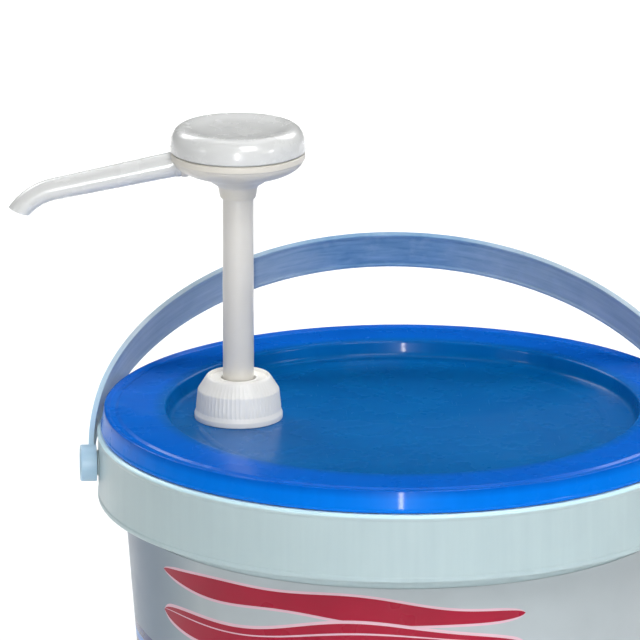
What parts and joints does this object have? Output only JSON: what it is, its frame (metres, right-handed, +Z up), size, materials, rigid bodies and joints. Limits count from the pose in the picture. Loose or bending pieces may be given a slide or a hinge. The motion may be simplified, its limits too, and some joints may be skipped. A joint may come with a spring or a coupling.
{
  "type": "condiment pump dispenser",
  "caption": "Condiment pump dispenser: white hand pump with a long side spout, clamped through the blue lid of a round white pail with a hinged strap bail.",
  "frame": {"origin": "centre of the pail's foot, on the surface it stands on", "axes": "+Z up, along the pump's stem; the bail turns about X and lies back towards +Y; the spout points along -X"},
  "size_m": [0.3454, 0.2954, 0.3874],
  "materials": {
    "pail_white": "satin",
    "label_print": "gloss",
    "bail_blue": "satin",
    "lid_blue": "satin",
    "pump_white": "gloss",
    "nut_white": "satin",
    "natural_plastic": "satin",
    "seal_rubber": "matte",
    "foam_white": "matte",
    "spring_steel": "satin",
    "ball_steel": "polished"
  },
  "bodies": {
    "pail_and_pump": {"pail": "pail_white", "pail_label": "label_print", "lid": "lid_blue", "lid_seal": "foam_white", "neck_adapter": "natural_plastic", "adapter_gasket": "seal_rubber", "cylinder_washer": "foam_white", "pump_cylinder": "natural_plastic", "stem_guide": "nut_white", "stem_wiper": "seal_rubber", "collar_nut": "nut_white", "inlet_cage": "natural_plastic", "inlet_ball": "ball_steel", "dip_tube": "natural_plastic", "return_spring": "spring_steel"},
    "plunger": {"piston": "natural_plastic", "piston_seal": "seal_rubber"},
    "pump_head": {"piston_stem": "pump_white", "valve_seat": "natural_plastic", "outlet_ball": "ball_steel", "head_body": "pump_white", "head_cap": "pump_white", "spout": "pump_white", "spout_o_ring": "seal_rubber"},
    "bail": {"bail_handle": "bail_blue"}
  },
  "joints": [
    {"name": "plunger_slide", "type": "slide", "parent": "pail_and_pump", "child": "plunger", "axis": [0, 0, 1], "range_m": [-0.08, 0], "stiffness_N_per_m": 120, "springref_m": 0.06, "deforming": ["return_spring"]},
    {"name": "head_swivel", "type": "hinge", "parent": "plunger", "child": "pump_head", "pos_m": [-0.0789, 0.011, 0.3], "axis": [0, 0, 1], "continuous": true},
    {"name": "bail_hinge", "type": "hinge", "parent": "pail_and_pump", "child": "bail", "pos_m": [0, 0, 0.2233], "axis": [1, 0, 0], "range_deg": [-51, 24]}
  ]
}
